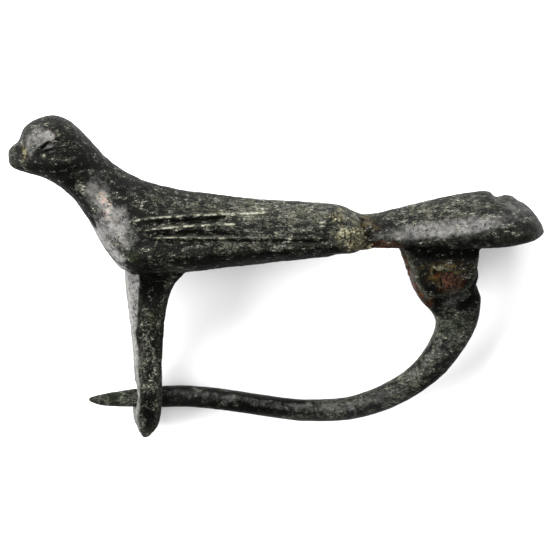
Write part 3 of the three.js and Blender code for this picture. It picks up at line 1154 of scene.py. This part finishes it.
@dataclass
class Bird:
    """The casting: bird, catch leg and lugs."""

    bird: BirdFrame
    material: bpy.types.Material
    rust: bpy.types.Material
    scale: bpy.types.Material
    voxel: float = 0.115
    passes: int = 5
    relief: Relief = Relief(lump=0.085, lump_size=1.3, grain=0.05, grain_size=0.36, crust=0.2)
    lug_grains: Grains = Grains("lug_rust", 42.0, 0.03, 0.12)
    wing_grains: Grains = Grains("wing_crust", 26.0, 0.04, 0.13, 23)
    # Painted highlight on the front faces: full on the leg, weaker on the lugs.
    leg_highlight: float = 1.0
    lug_highlight: float = 0.3
    # The lips' share of worn metal: partly worn edge, partly a painted highlight.
    lip_wear: float = 0.3
    # Share of worn metal, painted highlight included, kept off the creases so that their painted
    # shade shows.
    crease_cover: float = 0.75
    # Painted shade on faces turned down, and in the wing lines and creases.
    under_shade: float = 0.7
    cut_shade: float = 0.8

    grooves: Features = (
        Stroke(
            ((-10.1, 4.3), (-8.6, 4.32), (-7.2, 4.34), (-5.7, 4.5), (-3.0, 4.6)),
            0.34,
            -0.03,
            taper=1.4,
        ),
        Stroke(((-10.0, 3.6), (-5.8, 3.74), (-2.4, 3.6)), 0.34, -0.03, taper=1.4),
        Stroke(((-9.6, 3.2), (-5.9, 3.2), (-2.3, 3.2), (3.4, 3.16)), 0.2, -0.09),
    )
    # Raised lips beside the wing lines; their pale colour is partly worn edge and partly a painted
    # highlight.
    lips: Features = (
        Stroke(
            ((-10.8, 4.4), (-9.7, 4.6), (-8.6, 4.66), (-5.7, 4.78), (-2.9, 4.85), (-0.7, 4.9)),
            0.17,
            0.09,
        ),
        Stroke(((-10.0, 3.85), (-8.3, 4.0), (-6.5, 4.15), (-3.0, 4.25)), 0.18, 0.08),
        Stroke(((-9.4, 3.37), (-5.9, 3.39), (-3.6, 3.39)), 0.13, 0.08),
        Stroke(((-4.0, 3.39), (-2.3, 3.39), (3.4, 3.34)), 0.12, 0.07, amount=0.62),
    )
    creases: Features = (
        Stroke(
            ((-17.3, 9.35), (-16.95, 9.5), (-16.6, 9.85), (-16.1, 9.9), (-15.75, 10.2)),
            0.22,
            -0.16,
            taper=0.3,
        ),
        Stroke(((-17.0, 9.2), (-16.5, 9.35), (-16.1, 9.45)), 0.16, -0.1, taper=0.3),
        Stroke(((-18.3, 9.4), (-18.0, 8.5)), 0.3, -0.12, taper=0.2),
        Stroke(((-13.45, 4.55), (-12.85, 3.4)), 0.3, -0.16, Side.NEAR),
        Stroke(((6.15, 4.6), (5.9, 3.7), (6.5, 2.9)), 0.4, -0.16),
        Stroke(((4.9, 2.6), (5.5, 2.2)), 0.3, -0.12),
    )
    dents: Features = (
        Patch((-16.6, 9.2), (0.6, 0.35), 20, -0.1),
        Patch((-16.83, 8.93), (0.16, 0.2), 0, 0.1),
        Patch((-15.3, 9.6), (0.8, 0.6), 30, -0.09),
        Patch((-14.2, 7.4), (0.5, 0.35), -30, 0.08),
        Patch((-12.1, 6.5), (0.5, 0.4), 20, -0.07),
        Patch((-9.5, -4.2), (0.4, 0.5), 0, -0.1, Side.NEAR),
        Patch((-9.1, -5.8), (0.45, 0.6), 20, 0.08, Side.NEAR),
        Patch((-9.4, -7.2), (0.4, 0.5), -20, -0.09, Side.NEAR),
        Patch((-9.0, -8.8), (0.4, 0.8), 0, -0.08, Side.NEAR),
        Patch((11.3, 1.0), (0.7, 0.3), 10, -0.07, Side.NEAR),
        Patch((13.0, 0.6), (0.4, 0.6), 0, 0.06, Side.NEAR),
        Patch((13.75, 2.2), (0.7, 0.3), 0, -0.07),
        Stroke(((-11.3, 0.95), (-10.4, 0.72), (-9.6, 0.6)), 0.2, 0.07),
        Patch((5.2, 3.5), (0.9, 0.7), 0, 0.09),
        Patch((4.5, 3.5), (0.3, 0.25), 0, 0.12),
        Patch((5.7, 3.5), (0.25, 0.3), 0, 0.12),
        Patch((6.5, 2.4), (0.3, 0.25), 0, 0.12),
        Patch((3.4, 4.3), (0.5, 0.2), 0, 0.07),
        Patch((15.95, 5.85), (0.35, 0.3), 0, -0.1),
        Patch((16.7, 5.9), (0.4, 0.3), 0, 0.06),
        Patch((17.5, 5.35), (0.3, 0.25), 0, -0.08),
        Patch((4.4, 1.75), (0.5, 0.25), 0, -0.1),
        Stroke(((-9.5, -2.3), (-8.2, -2.7)), 0.16, -0.09, Side.NEAR, 0.3),
        Stroke(((-9.4, -3.0), (-8.3, -3.4)), 0.16, -0.09, Side.NEAR, 0.3),
    )
    # Worn patches. The breast patches and the strip down the breast's front are partly wear and
    # partly a painted highlight.
    worn: Features = (
        Patch((-16.9, 10.05), (1.0, 0.85), -30, amount=0.66, edge=0.4),
        Patch((-17.75, 9.55), (0.4, 0.85), 10, amount=0.55, edge=0.6),
        Patch((-16.5, 10.35), (0.5, 0.3), -20, amount=0.8, edge=0.4),
        Patch((-12.95, 6.2), (1.1, 1.6), 32, amount=0.72),
        Patch((-11.8, 4.1), (1.25, 1.9), 28, amount=0.76),
        Patch((-19.0, 8.9), (0.5, 0.8), 0, amount=0.4),
        Patch((-12.35, 5.4), (0.35, 1.0), 28),
        Stroke(((-13.6, 4.4), (-12.4, 2.8), (-11.0, 1.2)), 0.9),
        Patch((11.6, 3.95), (5.4, 0.62), 9, amount=0.72, edge=0.6),
        Patch((17.1, 5.2), (1.1, 0.4), -12, amount=0.55),
        Patch((-9.55, -5.6), (0.4, 2.9), 0, amount=0.42),
        Patch((-9.2, -8.3), (0.35, 1.1), 0, amount=0.34),
    )
    coppery: Features = (
        Patch((-12.35, 5.4), (0.4, 1.2), 25),
        Patch((-16.3, 10.6), (0.5, 0.6), 0, amount=0.6),
    )
    olive: Features = (
        Patch((-0.4, 4.9), (5.6, 0.75), -3),
        Patch((5.2, 4.3), (1.6, 0.6), -20, amount=0.8),
        Patch((11.6, 4.9), (3.6, 0.8), 10, amount=0.75),
        Patch((-7.5, 5.4), (2.4, 0.6), -6, amount=0.45),
        Patch((-2.5, 3.5), (5.5, 0.9), 0, amount=0.55),
        Patch((-7.6, 1.1), (1.7, 0.8), -10, amount=0.9),
        Patch((12.3, 1.1), (1.8, 0.6), 0, amount=0.5),
        Patch((-9.0, -6.2), (0.7, 3.2), 0, amount=0.7),
        Patch((-9.0, -3.0), (0.6, 0.9), 0, amount=0.8),
    )
    pale: Features = (
        Patch((5.1, 3.2), (1.3, 0.85), -25),
        Patch((4.6, 4.6), (0.9, 0.45), -20, amount=0.5),
        Patch((-18.15, 8.9), (0.3, 0.6), 0, amount=0.6),
        Patch((-4.5, 5.2), (0.6, 0.4), 0, side=Side.NEAR, amount=0.55),
        Patch((11.7, 0.9), (0.5, 0.18), 10, amount=0.5),
    )
    knobbly: Features = (
        Patch((5.3, 3.1), (0.9, 0.8), -30, edge=0.5),
        Patch((6.2, 2.4), (0.6, 0.35), -10, edge=0.5),
        Patch((3.9, 4.5), (0.8, 0.3), -15, edge=0.7, amount=0.7),
    )
    # Painted glints on the breast and head, in the lips' pale colour.
    glints: Features = (
        Patch((-14.0, 6.5), (0.75, 0.4), -30, amount=0.72),
        Patch((-12.5, 5.6), (0.55, 1.3), 30, amount=0.72),
        Patch((-11.4, 2.9), (0.8, 0.5), -10, amount=0.62),
        Patch((-16.8, 8.95), (0.15, 0.2), 0, amount=0.7),
    )
    mossy: Features = (
        Patch((-10.6, 2.0), (0.4, 0.35), 0),
        Patch((-8.85, -2.9), (0.35, 0.55), 0, amount=0.7),
    )
    ochre: Features = (
        Patch((11.9, 0.85), (1.5, 0.4), 4),
        Patch((11.2, 0.2), (0.5, 0.4), 0, amount=0.7),
        Patch((6.5, 4.0), (0.6, 0.5), 0, amount=0.8),
        Patch((-18.1, 9.1), (0.2, 0.5), 0, amount=0.35),
    )
    rusty: Features = (
        Patch((12.45, -0.2), (0.75, 0.35), 16, amount=0.7),
        Patch((11.6, 0.4), (0.55, 0.25), 0, amount=0.5),
        Patch((7.6, 2.55), (0.9, 0.3), 0, amount=0.6),
        Patch((10.4, 0.0), (0.7, 1.6), 15, side=Side.FAR),
    )
    caked: Features = (
        Patch((12.45, -0.1), (0.75, 0.35), 16, edge=0.6),
        Patch((12.85, -0.45), (0.4, 0.3), 0, edge=0.6),
    )
    # Painted shade: under the belly, on the leg's top and side and its foot, under the tail's edge,
    # on the lugs, on the tail's lower flank and on the neck's turned-away side.
    shaded: Features = (
        Patch((-9.2, 0.0), (1.4, 1.3), 0),
        Patch((-15.0, 7.7), (1.1, 1.2), 0, amount=0.6),
        Patch((12.3, 2.1), (3.6, 0.45), 0),
        Patch((-3.0, 1.7), (6.0, 0.8), 4, amount=0.75),
        Patch((14.8, 3.1), (2.6, 0.5), 6, amount=0.6),
        Patch((12.0, -0.2), (2.2, 1.6), 0, amount=0.8),
        Patch((-8.6, -5.0), (0.5, 4.0), 0, amount=0.5),
        Patch((-9.0, -9.4), (0.6, 1.2), 0, amount=0.75),
    )

    def build(self) -> None:
        """Carves and dresses the casting."""
        skin = Skin("brooch_body", self.bird, self.voxel, self.passes)
        carved = self.grooves + self.lips + self.dents + self.creases
        skin.push(sum(feature.cover(skin.at) * feature.height for feature in carved))
        self.dress(skin)
        skin.relieve(self.relief, self.material)
        skin.find_edges()
        facing = rising(skin.out[:, 2], 0.5, 0.3)
        skin.mask("lug_rust", strongest(self.caked, skin.at) * facing)
        skin.scatter(self.lug_grains, self.rust, "lug_rust_crust", "rusted_iron")
        skin.mask("wing_crust", strongest(self.knobbly, skin.at))
        skin.scatter(self.wing_grains, self.scale, "wing_end_crust", "bronze_casting")
        skin.finish("cast_bird", "brooch", "bronze_casting")

    def front_highlight(self, skin: Skin) -> np.ndarray:
        """How far each point is on the front faces of leg and lugs, which get a painted highlight
        in the worn-metal colour, weaker down the leg.

        Args:
            skin: the casting's skin.

        Returns:
            0 to 1 for each point.
        """
        x, y = skin.at[:, 0], skin.at[:, 1]
        forward = rising(-skin.out[:, 0], 0.3, 0.25)
        low = rising(-y, -1.6, 0.8)
        fade = 1.0 + 0.035 * np.clip(y, -12, 0)
        return fade * forward * low * np.where(x < 0, self.leg_highlight, self.lug_highlight)

    def dress(self, skin: Skin) -> None:
        """Stores the masks that the bronze finish reads.

        Args:
            skin: the casting's skin, carved but still smooth.
        """
        at = skin.at
        lips = strongest(self.lips, at)
        cuts = strongest(self.creases, at)
        front_highlight = self.front_highlight(skin)
        # The worn-metal mask also carries the painted highlight of the front faces and part of the
        # lips' brightness; the creases are kept out of it so that their painted shade shows.
        wear_and_highlight = np.maximum(strongest(self.worn, at), np.maximum(self.lip_wear * lips, front_highlight))
        skin.mask("wear_and_highlight", wear_and_highlight * (1 - self.crease_cover * cuts))
        skin.mask("upright", rising(-at[:, 1], -0.8, 1.0) * (at[:, 0] < 0))
        skin.mask("copper", strongest(self.coppery, at))
        skin.mask("olive", strongest(self.olive, at))
        skin.mask("pale", strongest(self.pale, at))
        skin.mask("lip", np.maximum(lips, strongest(self.glints, at)))
        skin.mask("green", strongest(self.mossy, at))
        skin.mask("ochre", strongest(self.ochre, at))
        skin.mask("rust", strongest(self.rusty, at))
        # Painted shade: faces turned down, the shaded patches, the wing lines and the creases, none
        # on the highlighted front faces.
        under = self.under_shade * rising(-skin.out[:, 1], 0.15, 0.4)
        painted_shade = (strongest(self.shaded, at) + under) * (1 - front_highlight)
        skin.mask("painted_shade", painted_shade + self.cut_shade * (strongest(self.grooves, at) + cuts))


@dataclass
class Pin:
    """The curved pin with its disc head."""

    bird: BirdFrame
    material: bpy.types.Material
    voxel: float = 0.075
    passes: int = 6
    relief: Relief = Relief(
        lump=0.03, lump_size=1.2, grain=0.012, grain_size=0.3, crust=0.08, seed=19
    )
    highlight_way: Place = (-0.18, 0.42, 0.89)
    highlight_share: float = 0.5
    stop: Patch = Patch((14.75, -0.75), (0.5, 0.5), 0, -0.08)
    olive: Features = (
        Patch((12.4, -4.2), (1.6, 2.0), 0),
        Patch((9.6, -7.6), (2.6, 1.3), 35),
        Patch((5.0, -9.3), (3.5, 0.7), 8, amount=0.8),
        Patch((-11.2, -8.9), (1.3, 0.4), 0),
    )
    greenish: Features = (
        Patch((13.0, -3.6), (0.9, 0.6), 0, amount=0.6),
        Patch((-11.2, -8.8), (1.0, 0.35), 0, amount=0.5),
    )
    rusty: Features = (Patch((10.5, -0.9), (0.45, 1.0), 25),)
    # Painted shade on the pin: under the lug, inside the bow and along the straight.
    shaded: Features = (
        Patch((12.4, -1.5), (2.0, 0.9), 0),
        Patch((10.6, -8.4), (3.2, 0.4), 42, amount=0.5),
        Patch((-2.0, -9.5), (6.5, 0.5), 0, amount=0.75),
    )

    def build(self) -> None:
        """Covers the pin, leaves room where it stops against the tail, and dresses it."""
        skin = Skin("pin", self.bird, self.voxel, self.passes)
        skin.push(self.stop.cover(skin.at) * self.stop.height)
        at = skin.at
        for name in MASKS:
            skin.mask(name, 0.0)
        # Painted highlight: faces turned towards the given direction, the pin's upper side, take
        # the worn-metal colour, half as strong towards the point.
        calm = 0.5 + 0.5 * rising(at[:, 0], -11.5, 2.5)
        facing = rising(skin.out @ np.array(self.highlight_way), 0.72, 0.24)
        skin.mask("wear_and_highlight", self.highlight_share * calm * facing)
        skin.mask("olive", strongest(self.olive, at))
        skin.mask("green", strongest(self.greenish, at))
        skin.mask("rust", strongest(self.rusty, at))
        skin.mask("painted_shade", strongest(self.shaded, at))
        skin.relieve(self.relief, self.material)
        skin.find_edges()
        skin.finish("curved_pin", "pin", "bronze_pin")


@dataclass
class Axle:
    """The rusted iron axle through lugs and pin."""

    bird: BirdFrame
    material: bpy.types.Material
    voxel: float = 0.05
    passes: int = 2
    relief: Relief = Relief(lump=0.0, grain=0.05, grain_size=0.3, crust=0.0, seed=3)
    end_grains: Grains = Grains("end_rust", 60.0, 0.05, 0.15, 11)
    rusted_from: float = 2.1

    def build(self) -> None:
        """Covers and dresses the axle."""
        skin = Skin("hinge_axis", self.bird, self.voxel, self.passes)
        for name in ("pale", "rust"):
            skin.mask(name, 0.0)
        skin.relieve(self.relief, self.material)
        skin.mask("end_rust", rising(skin.at[:, 2], self.rusted_from, 0.1))
        skin.scatter(self.end_grains, self.material, "axle_rust_crust", "rusted_iron")
        skin.finish("iron_axle", "brooch", "rusted_iron")


# ---------------------------------------------------------------- studio


@dataclass(frozen=True)
class Lamp:
    """A soft square lamp: its place and side in metres, and its power in watts."""

    name: str
    at: Place
    size: float
    power: float


@dataclass
class Studio:
    """A pale floor, soft light and the camera."""

    azimuth: float = 8.0
    distance: float = 0.32
    lens: float = 294.4
    sensor: float = 36.0
    shift: Point = (-0.0015, 0.0046)
    target: Place = (0.0, 0.0, 0.004245)
    floor_reach: float = 1.5
    floor_gap: float = 0.00002
    paper: Colour = (0.92, 0.92, 0.92)
    surroundings: float = 0.10
    lamps: tuple[Lamp, ...] = (
        Lamp("key", (-0.30, 0.33, 0.32), 0.32, 7.0),
        Lamp("left", (-0.40, -0.08, 0.16), 0.22, 4.6),
        Lamp("top", (0.04, 0.46, 0.20), 0.26, 2.4),
        Lamp("over", (0.04, -0.06, 0.55), 0.60, 3.0),
    )

    def build(self) -> None:
        """Sets the floor, lights, surroundings and camera."""
        scene = bpy.context.scene
        scene.view_settings.view_transform = "Standard"
        self.floor()
        for lamp in self.lamps:
            self.light(lamp)
        world = bpy.data.worlds.new("studio")
        world.use_nodes = True
        background = world.node_tree.nodes["Background"]
        background.inputs["Color"].default_value = (1, 1, 1, 1)
        background.inputs["Strength"].default_value = self.surroundings
        scene.world = world
        self.camera()

    def floor(self) -> None:
        """Lays a wide pale sheet under the brooch."""
        work = bmesh.new()
        bmesh.ops.create_grid(work, x_segments=8, y_segments=8, size=self.floor_reach)
        mesh = bpy.data.meshes.new("floor")
        work.to_mesh(mesh)
        work.free()
        made = bpy.data.objects.new("floor", mesh)
        made.location = (0, 0, float(CAD_BOX[0][2]) - self.floor_gap)
        bpy.context.scene.collection.objects.link(made)
        paper = bpy.data.materials.new("paper")
        paper.use_nodes = True
        shader = paper.node_tree.nodes["Principled BSDF"]
        shader.inputs["Base Color"].default_value = opaque(self.paper)
        shader.inputs["Roughness"].default_value = 0.9
        shader.inputs["Specular IOR Level"].default_value = 0.1
        mesh.materials.append(paper)

    def light(self, lamp: Lamp) -> None:
        """Hangs one lamp that faces the brooch.

        Args:
            lamp: its place, size and power.
        """
        data = bpy.data.lights.new(lamp.name, "AREA")
        data.shape = "SQUARE"
        data.size = lamp.size
        data.energy = lamp.power
        made = bpy.data.objects.new(lamp.name, data)
        made.location = lamp.at
        towards = Vector(self.target) - Vector(lamp.at)
        made.rotation_euler = towards.to_track_quat("-Z", "Y").to_euler()
        bpy.context.scene.collection.objects.link(made)

    def camera(self) -> None:
        """Looks down on the brooch, a little from the beak's side."""
        turn = math.radians(self.azimuth)
        data = bpy.data.cameras.new("camera")
        data.lens = self.lens
        data.sensor_width = self.sensor
        data.shift_x, data.shift_y = self.shift
        data.clip_start = 0.01
        data.clip_end = 10.0
        made = bpy.data.objects.new("camera", data)
        back = Vector((-math.sin(turn), 0, math.cos(turn)))
        made.location = Vector(self.target) + back * self.distance
        made.rotation_euler = (0, -turn, 0)
        bpy.context.scene.collection.objects.link(made)
        bpy.context.scene.camera = made


# ---------------------------------------------------------------- build


def main() -> None:
    """Builds the studio and the pieces, and reports each."""
    logging.basicConfig(level=logging.INFO, format="%(message)s")
    bird = BirdFrame(frame["joints"][0])
    effects = Effects()
    Studio().build()
    rust = IRON_RUST.build()
    cast_bronze = CAST_BRONZE.build(effects, bird.roll)
    Bird(bird, cast_bronze, rust, PALE_CRUST.build()).build()
    Pin(bird, PIN_BRONZE.build(effects, bird.roll)).build()
    Axle(bird, rust).build()


if __name__ == "__main__":
    main()
